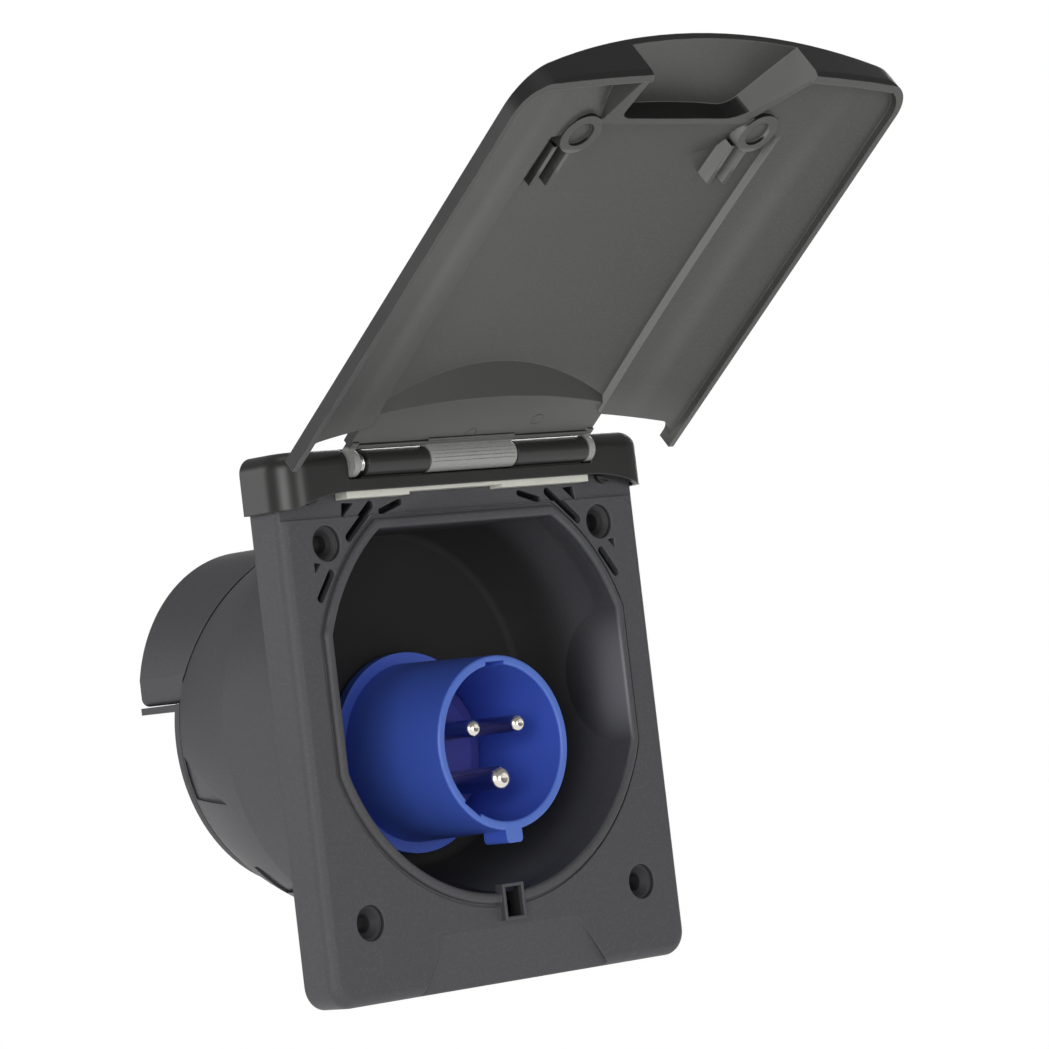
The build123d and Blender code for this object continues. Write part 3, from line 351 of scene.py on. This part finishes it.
def bowl_painted_shade(finish):
    """Painted shade inside the bowl: faces that look towards the bowl's middle line or out of it,
    darker with depth.

    The painted shade starts later on the lower right side, where the light through the opening
    falls.
    """
    inward = bowl_outward(finish).below(-4 * MM, 4 * MM)
    forward = finish.facing(FRONT).above(0.5, 0.2)
    lit = (finish.axis("X") - finish.axis("Z")) * 0.1
    deep = (finish.axis("Y") - lit).above(1 * MM, 14 * MM)
    return inward.larger(forward) * deep * bowl_reach(finish).below(BOWL_RADIUS, 2 * MM) * 0.97


def bowl_rim_painted_light(finish):
    """Painted light on the inner wall beside the opening, on the lower right."""
    inward = bowl_outward(finish).below(-30 * MM, 10 * MM)
    shallow = finish.axis("Y").below(-2 * MM, 10 * MM)
    lower_right = (finish.axis("X") - finish.axis("Z")).above(20 * MM, 30 * MM)
    return inward * shallow * lower_right * bowl_reach(finish).below(BOWL_RADIUS, 2 * MM)


def plate_recess_painted_shade(finish):
    """Painted shade in the slots in the upper corners, the screw recesses and the catch."""
    across = abs(finish.axis("X"))
    height = finish.axis("Z")
    depth = finish.axis("Y")
    behind = depth.above(-10.1 * MM, 0.4 * MM) * depth.below(-5.8 * MM, 0.3 * MM)
    corner = height.above(30 * MM, 1 * MM) * height.below(68.5 * MM, 0.5 * MM)
    corner = corner * across.below(62.5 * MM, 0.5 * MM)
    slots = corner * bowl_reach(finish).above(57.5 * MM, 0.5 * MM) * behind
    from_hole = ((across - HOLE_PLACE) ** 2 + (abs(height) - HOLE_PLACE) ** 2) ** 0.5
    recesses = from_hole.below(5.2 * MM, 0.2 * MM) * depth.above(-11.6 * MM, 0.3 * MM) * 0.7
    catch = height.above(-56.5 * MM, 0.5 * MM) * height.below(-45.5 * MM, 0.5 * MM)
    catch = catch * across.below(3.3 * MM, 0.3 * MM) * depth.above(-13 * MM, 0.3 * MM)
    return slots.larger(recesses).larger(catch)


def glossy_moulding(name, colour, rough, mouth=None):
    """Smooth moulded plastic with faint flow marks and paler edges.

    The rim in front of the mouth, a Y coordinate if one is given, is paler where it looks to the
    front.
    """
    finish = Finish(name)
    rounded, near_edge = finish.edge(0.4 * MM)
    flow = finish.noise(20 * MM, 3.0, 0.5, (1, 0.25, 1))
    fine = finish.noise(1.2 * MM, 2.0)
    tone = finish.blend(flow, grade(colour, 0.93), grade(colour, 1.07))
    paler = [c + (1 - c) * share for c, share in zip(colour, PALE_WHITE_SHARE)] + [1.0]
    pale_mask = near_edge * 0.7
    if mouth is not None:
        rim = finish.facing(FRONT).above(0.6, 0.2)
        rim = rim * finish.axis("Y").below(mouth + 2 * MM, 0.5 * MM)
        pale_mask = pale_mask.larger(rim * (flow * 0.4 + 0.55))
    finish.set(Base_Color=finish.blend(pale_mask, tone, paler))
    finish.set(Roughness=rough + (flow - 0.5) * 0.1 + (fine - 0.5) * 0.05)
    finish.set(Normal=finish.relief(fine, 0.012 * MM, under=rounded))
    return finish


def plated(name, colour, rough, stretch=(1, 1, 1)):
    """Plated metal: fine turning lines and slight dulling."""
    finish = Finish(name)
    rounded, near_edge = finish.edge(0.25 * MM)
    lines = finish.noise(0.4 * MM, 2.0, 0.6, stretch)
    dull = finish.noise(4 * MM, 3.0)
    finish.set(Base_Color=finish.blend(dull, grade(colour, 0.9), grade(colour, 1.05)))
    finish.set(Metallic=1.0)
    finish.set(Roughness=rough + dull * 0.12 + (lines - 0.5) * 0.08 + near_edge * 0.05)
    finish.set(Normal=finish.relief(lines, 0.006 * MM, under=rounded))
    return finish


def rubbery(name, colour, rough):
    """Rubber or foam: matt, with open pores."""
    finish = Finish(name)
    pores = finish.noise(0.6 * MM, 3.0, 0.65)
    cloudy = finish.noise(8 * MM, 2.0)
    finish.set(Base_Color=finish.blend(cloudy, grade(colour, 0.85), grade(colour, 1.12)))
    finish.set(Roughness=rough + (pores - 0.5) * 0.1)
    finish.set(Normal=finish.relief(pores, 0.08 * MM))
    return finish


def dress(finish, *nodes):
    """Gives a finish to nodes of the frame."""
    for name in nodes:
        mesh = frame["nodes"][name].data
        mesh.materials.clear()
        mesh.materials.append(finish.material)


def surface(name, points, closed_u=False, closed_v=False):
    """A mesh from an array of points, rows by columns, joined by quads and closed where asked."""
    rows, columns, _ = points.shape
    row = np.arange(rows if closed_u else rows - 1)[:, None]
    column = np.arange(columns if closed_v else columns - 1)[None, :]
    next_row = (row + 1) % rows
    next_column = (column + 1) % columns
    corners = [row * columns + column, row * columns + next_column]
    corners += [next_row * columns + next_column, next_row * columns + column]
    quads = np.stack(np.broadcast_arrays(*corners), -1).reshape(-1, 4)
    mesh = bpy.data.meshes.new(name)
    mesh.from_pydata(points.reshape(-1, 3).tolist(), [], quads.tolist())
    mesh.polygons.foreach_set("use_smooth", np.ones(len(mesh.polygons), bool))
    mesh.update()
    piece = bpy.data.objects.new(name, mesh)
    bpy.context.scene.collection.objects.link(piece)
    return piece


def on_lid(x, u, w):
    """Places on the open lid: x right, u along it from the hinge, w out of it, in millimetres."""
    x, u, w = np.broadcast_arrays(x, u, w)
    y = HINGE[1] - np.cos(LEAN) * u * MM + np.sin(LEAN) * w * MM
    z = HINGE[2] + np.sin(LEAN) * u * MM + np.cos(LEAN) * w * MM
    return np.stack([x * MM, y, z], -1)


def tube(name, path, radius, sides=10):
    """A round wire: a circle across the path at each point, its ends drawn in to close.

    The circle's first direction is square to the path and to one aside that no wire here follows.
    """
    aside = (0.3, 0.5, 0.81)
    end_size = 0.02
    along = np.gradient(path, axis=0)
    along /= np.linalg.norm(along, axis=1, keepdims=True)
    first = np.cross(along, np.full_like(along, aside))
    first /= np.linalg.norm(first, axis=1, keepdims=True)
    second = np.cross(along, first)
    turn = np.linspace(0, 2 * np.pi, sides, endpoint=False)[None, :, None]
    size = np.full(len(path), radius)
    size[[0, -1]] = radius * end_size
    circle = np.cos(turn) * first[:, None] + np.sin(turn) * second[:, None]
    return surface(name, path[:, None] + circle * size[:, None, None], closed_v=True)


def spring_path():
    """The lid's spring: turns round the hinge pin and a straight leg from each end.

    The helix has x growing with the turn t, and (cos t, sin t) times the coil's radius across it.
    """
    coil_radius = 2.3
    coil_points = 90
    leg_points = 8
    turn = np.linspace(0.5 * np.pi, 5.5 * np.pi, coil_points)
    x = np.linspace(-42.9, -41.1, coil_points)
    coil = np.stack([x, coil_radius * np.cos(turn), coil_radius * np.sin(turn)], -1)
    reach = np.linspace(3.0, 0.3, leg_points)
    top = np.full(leg_points, coil_radius)
    start = np.stack([np.full(leg_points, x[0]), reach, top], -1)
    end = np.stack([np.full(leg_points, x[-1]), reach[::-1], -top], -1)
    return np.concatenate([start, coil, end]) * MM + HINGE * (0, 1, 1)


def ring(name, x, u, level, radius, thick):
    """A raised ring of the mould inside the lid: a round bead carried round a circle."""
    turn = np.linspace(0, 2 * np.pi, 40, endpoint=False)[:, None]
    bead = np.linspace(0, 2 * np.pi, 8, endpoint=False)[None, :]
    away = radius + thick * np.cos(bead)
    points = on_lid(x + away * np.cos(turn), u + away * np.sin(turn), level - thick * np.sin(bead))
    return surface(name, points, closed_u=True, closed_v=True)


def ridge(name, degrees, span, reach, radius):
    """A fine ridge along the lid's knuckle: a straight bead, turned round the hinge line."""
    x = np.linspace(*span, 40)
    turn = np.radians(degrees)
    path = on_lid(x, reach * np.cos(turn), reach * np.sin(turn))
    return tube(name, path, radius * MM, 8)


def finish_piece(piece, finish, body):
    """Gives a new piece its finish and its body."""
    piece.data.materials.append(finish.material)
    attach(piece, body)


class InletColours(bpy.types.PropertyGroup):
    """Colours and grain that a user would change."""

    charcoal: bpy.props.FloatVectorProperty(
        name="Plate", description="Plastic of the plate and the housing behind it",
        subtype="COLOR", size=3, min=0, max=1, default=(0.068, 0.068, 0.074))
    lid: bpy.props.FloatVectorProperty(
        name="Lid", description="Plastic of the lid",
        subtype="COLOR", size=3, min=0, max=1, default=(0.066, 0.066, 0.063))
    hood: bpy.props.FloatVectorProperty(
        name="Hood", description="Plastic of the hood and its knuckles",
        subtype="COLOR", size=3, min=0, max=1, default=(0.015, 0.015, 0.014))
    blue: bpy.props.FloatVectorProperty(
        name="Collar", description="Plastic of the collar and its flange",
        subtype="COLOR", size=3, min=0, max=1, default=(0.066, 0.135, 0.64))
    deep_blue: bpy.props.FloatVectorProperty(
        name="Insert", description="Plastic of the insert that carries the pins",
        subtype="COLOR", size=3, min=0, max=1, default=(0.062, 0.066, 0.33))
    nickel: bpy.props.FloatVectorProperty(
        name="Pins", description="Plating of the pins",
        subtype="COLOR", size=3, min=0, max=1, default=(0.76, 0.72, 0.66))
    pale: bpy.props.FloatVectorProperty(
        name="Sealing strip", description="Strip under the hood",
        subtype="COLOR", size=3, min=0, max=1, default=(0.78, 0.78, 0.70))
    grain: bpy.props.FloatProperty(
        name="Grain", description="Width of one grain of the moulded texture",
        subtype="DISTANCE", unit="LENGTH", min=0.0001, max=0.002, default=0.0003)


class InletStudio(bpy.types.PropertyGroup):
    """Camera and lamps."""

    azimuth: bpy.props.FloatProperty(
        name="Azimuth", description="Camera's turn to the left of the front",
        subtype="ANGLE", default=np.radians(43.39))
    elevation: bpy.props.FloatProperty(
        name="Elevation", description="Camera's height angle over the inlet",
        subtype="ANGLE", default=np.radians(-2.23))
    roll: bpy.props.FloatProperty(
        name="Roll", description="Camera's lean",
        subtype="ANGLE", default=np.radians(-6.72))
    distance: bpy.props.FloatProperty(
        name="Distance", description="Camera's distance from the opening",
        subtype="DISTANCE", unit="LENGTH", default=1.3368)
    across: bpy.props.FloatProperty(
        name="Across", description="Camera's offset to the right",
        subtype="DISTANCE", unit="LENGTH", default=0.01565)
    above: bpy.props.FloatProperty(
        name="Above", description="Camera's offset upwards",
        subtype="DISTANCE", unit="LENGTH", default=0.04423)
    lens: bpy.props.FloatProperty(
        name="Lens", description="Focal length in millimetres on a 36 mm sensor",
        default=164.07, min=10)
    floor_gap: bpy.props.FloatProperty(
        name="Floor gap", description="Space between the inlet and the floor",
        subtype="DISTANCE", unit="LENGTH", default=0.22)
    lamp_level: bpy.props.FloatProperty(
        name="Lamp level", description="Strength of all lamps together",
        min=0, default=1.0)


class INLET_OT_housing(bpy.types.Operator):
    """Finishes the plate, the hood and the housing behind the wall"""

    bl_idname = "inlet.housing"
    bl_label = "Plate, Hood and Housing"
    # The bowl's lower right rim is made paler as painted light, and the bowl's inside and the
    # plate's recesses darker as painted shade
    regions = ((bowl_rim_painted_light, 3.2, 0.0), (bowl_painted_shade, 0.03, -0.25), (plate_recess_painted_shade, 0.12, -0.2))

    def execute(self, context):
        colours = context.scene.inlet_colours
        charcoal, grain = colours.charcoal, colours.grain
        dress(moulded("Plate Plastic", charcoal, 0.55, grain, regions=self.regions), "front_frame")
        dress(moulded("Charcoal Plastic", charcoal, 0.55, grain), "rear_cover", "closing_plate")
        hood = moulded("Hood Plastic", colours.hood, 0.34, grain, 0.015 * MM, edge_wear_and_highlight=1.0)
        dress(hood, "hinge_cover")
        dress(rubbery("Pale Strip", colours.pale, 0.5), "hood_seal")
        foam = rubbery("Black Foam", FOAM_BLACK, 0.85)
        dress(foam, "wall_gasket", "inlet_gasket", "gland_seal")
        steel = plated("Bright Steel", BRIGHT_STEEL, 0.25)
        dress(steel, "hinge_pin", "terminal_screws", "hood_screws", "closing_plate_screws")
        return {"FINISHED"}


class INLET_OT_lid(bpy.types.Operator):
    """Finishes the lid and adds its spring, its mould marks and its knuckle's ridges"""

    bl_idname = "inlet.lid"
    bl_label = "Lid"
    # The ribs, the creases and the knuckle are made paler as painted light, and the crescent
    # darker as painted shade
    regions = (
        (lid_root, 1.8, 0.0), (lid_ribs_painted_light, 2.1, 0.08), (lid_creases_painted_light, 4.8, 0.1),
        (lid_crescent_painted_shade, 0.6, 0.0), (lid_outside, 0.1, 0.0), (lid_knuckle_painted_highlight, 5.5, 0.2))
    wire_radius = 0.35 * MM
    # Mould marks: place across and along the lid and out of it, in millimetres
    marks = ((20.9, 11.0, 2.28), (-2.1, 6.8, 2.28), (21.0, 97.0, 9.25))
    mark_radius = 1.9
    mark_bead = 0.14
    # Ridges of the knuckle: turn in degrees, and the rest in millimetres
    ridge_turns = (-8, -24, -40, -56)
    ridge_span = (-17.1, 14.7)
    ridge_reach = 3.74
    ridge_radius = 0.1

    def execute(self, context):
        colours = context.scene.inlet_colours
        grain = colours.grain * 1.2
        plastic = moulded(
            "Lid Plastic", colours.lid, 0.48, grain, 0.025 * MM, 0.1, 0.9, self.regions)
        dress(plastic, "lid")
        spring = tube("lid_spring", spring_path(), self.wire_radius)
        finish_piece(spring, plated("Spring Steel", SPRING_STEEL, 0.2), HOUSING)
        for number, place in enumerate(self.marks, 1):
            mark = ring(f"mould_mark_{number}", *place, self.mark_radius, self.mark_bead)
            finish_piece(mark, plastic, COVER)
        sizes = self.ridge_span, self.ridge_reach, self.ridge_radius
        for number, degrees in enumerate(self.ridge_turns, 1):
            bead = ridge(f"knuckle_ridge_{number}", degrees, *sizes)
            finish_piece(bead, plastic, COVER)
        return {"FINISHED"}


class INLET_OT_collar(bpy.types.Operator):
    """Finishes the collar, its insert and the pins"""

    bl_idname = "inlet.collar"
    bl_label = "Collar and Pins"

    def execute(self, context):
        colours = context.scene.inlet_colours
        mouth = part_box("inlet_shroud")[0][1]
        dress(glossy_moulding("Blue Plastic", colours.blue, 0.38, mouth), "inlet_shroud")
        insert = glossy_moulding("Deep Blue Plastic", colours.deep_blue, 0.4)
        dress(insert, "contact_carrier", "inlet_nut")
        nickel = plated("Nickel", colours.nickel, 0.14, (1, 0.05, 1))
        dress(nickel, "line_pin", "neutral_pin", "earth_pin")
        return {"FINISHED"}


class INLET_OT_gland(bpy.types.Operator):
    """Finishes the cable gland"""

    bl_idname = "inlet.gland"
    bl_label = "Cable Gland"

    def execute(self, context):
        black = moulded("Gland Plastic", GLAND_BLACK, 0.4, 0.4 * MM, 0.01 * MM)
        dress(black, "gland_body", "gland_locknut", "gland_nut")
        return {"FINISHED"}


def studio_floor(level, light, seen_share):
    """A pale floor that shows as white and keeps the shadow."""
    edge = np.linspace(-4, 4, 2)
    x, y = np.meshgrid(edge, edge, indexing="ij")
    floor = surface("studio_floor", np.stack([x, y, np.full_like(x, level)], -1))
    finish = Finish("White Floor")
    finish.set(Base_Color=(0.9, 0.9, 0.9, 1.0))
    finish.set(Roughness=0.9)
    glow = finish.add("ShaderNodeEmission", inputs={"Color": (1, 1, 1, 1), "Strength": light})
    camera_ray = finish.add("ShaderNodeLightPath", output="Is Camera Ray")
    glossy_ray = finish.add("ShaderNodeLightPath", output="Is Glossy Ray")
    mix = finish.tree.nodes.new("ShaderNodeMixShader")
    finish.feed(mix.inputs[0], camera_ray.larger(glossy_ray) * seen_share)
    finish.tree.links.new(finish.shader.outputs[0], mix.inputs[1])
    finish.tree.links.new(glow.socket, mix.inputs[2])
    finish.tree.links.new(mix.outputs[0], finish.output.inputs["Surface"])
    floor.data.materials.append(finish.material)


def lamp(name, place, aim, size, watts):
    """A square soft lamp at a place, turned to a point."""
    light = bpy.data.lights.new(name, "AREA")
    light.shape = "SQUARE"
    light.size = size
    light.energy = watts
    light.specular_factor = LAMP_GLOSS
    lamp_object = bpy.data.objects.new(name, light)
    bpy.context.scene.collection.objects.link(lamp_object)
    toward = Vector(aim) - Vector(place)
    turned = toward.to_track_quat("-Z", "Y").to_matrix().to_4x4()
    lamp_object.matrix_world = Matrix.Translation(Vector(place)) @ turned


class INLET_OT_studio(bpy.types.Operator):
    """Sets up the camera, the lamps, the floor and the white surroundings"""

    bl_idname = "inlet.studio"
    bl_label = "Studio"
    # Place, side of the square in metres, and watts
    lamps = (
        ("key_lamp", (-2.1, -1.5, 0.2), 1.3, 30),
        ("front_lamp", (0.1, -1.5, -0.02), 0.5, 4.5),
        ("rear_lamp", (-1.4, 1.2, 0.4), 0.9, 7),
        ("rear_right_lamp", (1.7, 1.1, 0.5), 1.1, 22),
        ("top_lamp", (-0.2, -0.2, 1.6), 0.8, 2.5),
    )
    aim = (0, 0, 0.02)
    floor_light = 1.15
    floor_seen = 0.85
    # Strength of the world as light, and what a mirror sees on top of it
    world_light = 0.12
    world_mirror = 0.18

    def camera(self, scene):
        """The photograph's camera: round the opening, then moved across it and leaned."""
        studio = scene.inlet_studio
        sin, cos = np.sin, np.cos
        turn, rise, lean = studio.azimuth, studio.elevation, studio.roll
        back = np.array([-sin(turn) * cos(rise), -cos(turn) * cos(rise), sin(rise)])
        right = np.cross(-back, UP)
        right /= np.linalg.norm(right)
        up = np.cross(right, -back)
        place = OPENING + back * studio.distance + right * studio.across + up * studio.above
        leaned_right = cos(lean) * right + sin(lean) * up
        leaned_up = cos(lean) * up - sin(lean) * right
        camera = bpy.data.cameras.new("studio_camera")
        camera.lens = studio.lens
        camera.sensor_width = 36
        camera_object = bpy.data.objects.new("studio_camera", camera)
        columns = np.stack([leaned_right, leaned_up, back, place], 1)
        camera_object.matrix_world = Matrix(columns.tolist() + [[0, 0, 0, 1]])
        scene.collection.objects.link(camera_object)
        scene.camera = camera_object

    def world(self, scene):
        """White to the camera, dim as a light."""
        world = bpy.data.worlds.new("studio_world")
        scene.world = world
        world.use_nodes = True
        tree = world.node_tree
        background = tree.nodes["Background"]
        path = tree.nodes.new("ShaderNodeLightPath")
        camera_ray = Value(tree, path.outputs["Is Camera Ray"])
        glossy_ray = Value(tree, path.outputs["Is Glossy Ray"])
        transmission_ray = Value(tree, path.outputs["Is Transmission Ray"])
        seen = camera_ray.larger(transmission_ray) * (1 - self.world_light)
        strength = seen + glossy_ray * self.world_mirror + self.world_light
        tree.links.new(strength.socket, background.inputs["Strength"])
        background.inputs["Color"].default_value = (1, 1, 1, 1)

    def execute(self, context):
        scene = context.scene
        self.camera(scene)
        floor_level = cad_box[0][2] - scene.inlet_studio.floor_gap
        studio_floor(floor_level, self.floor_light, self.floor_seen)
        for name, place, size, watts in self.lamps:
            lamp(name, place, self.aim, size, watts * scene.inlet_studio.lamp_level)
        self.world(scene)
        scene.view_settings.view_transform = "Standard"
        return {"FINISHED"}


class INLET_PT_panel(bpy.types.Panel):
    """Lists the steps and the values of the inlet"""

    bl_idname = "INLET_PT_panel"
    bl_label = "Caravan Power Inlet"
    bl_space_type = "VIEW_3D"
    bl_region_type = "UI"
    bl_category = "Inlet"

    def draw(self, context):
        layout = self.layout
        for operator in OPERATORS:
            layout.operator(operator.bl_idname)
        for group in (context.scene.inlet_colours, context.scene.inlet_studio):
            for name in group.__annotations__:
                layout.prop(group, name)


OPERATORS = [INLET_OT_housing, INLET_OT_lid, INLET_OT_collar, INLET_OT_gland, INLET_OT_studio]
CLASSES = [InletColours, InletStudio, *OPERATORS, INLET_PT_panel]


def register():
    for item in CLASSES:
        bpy.utils.register_class(item)
    bpy.types.Scene.inlet_colours = bpy.props.PointerProperty(type=InletColours)
    bpy.types.Scene.inlet_studio = bpy.props.PointerProperty(type=InletStudio)


def unregister():
    del bpy.types.Scene.inlet_studio
    del bpy.types.Scene.inlet_colours
    for item in reversed(CLASSES):
        bpy.utils.unregister_class(item)


def main():
    register()
    bpy.ops.inlet.housing()
    bpy.ops.inlet.lid()
    bpy.ops.inlet.collar()
    bpy.ops.inlet.gland()
    bpy.ops.inlet.studio()


if __name__ == "__main__":
    main()
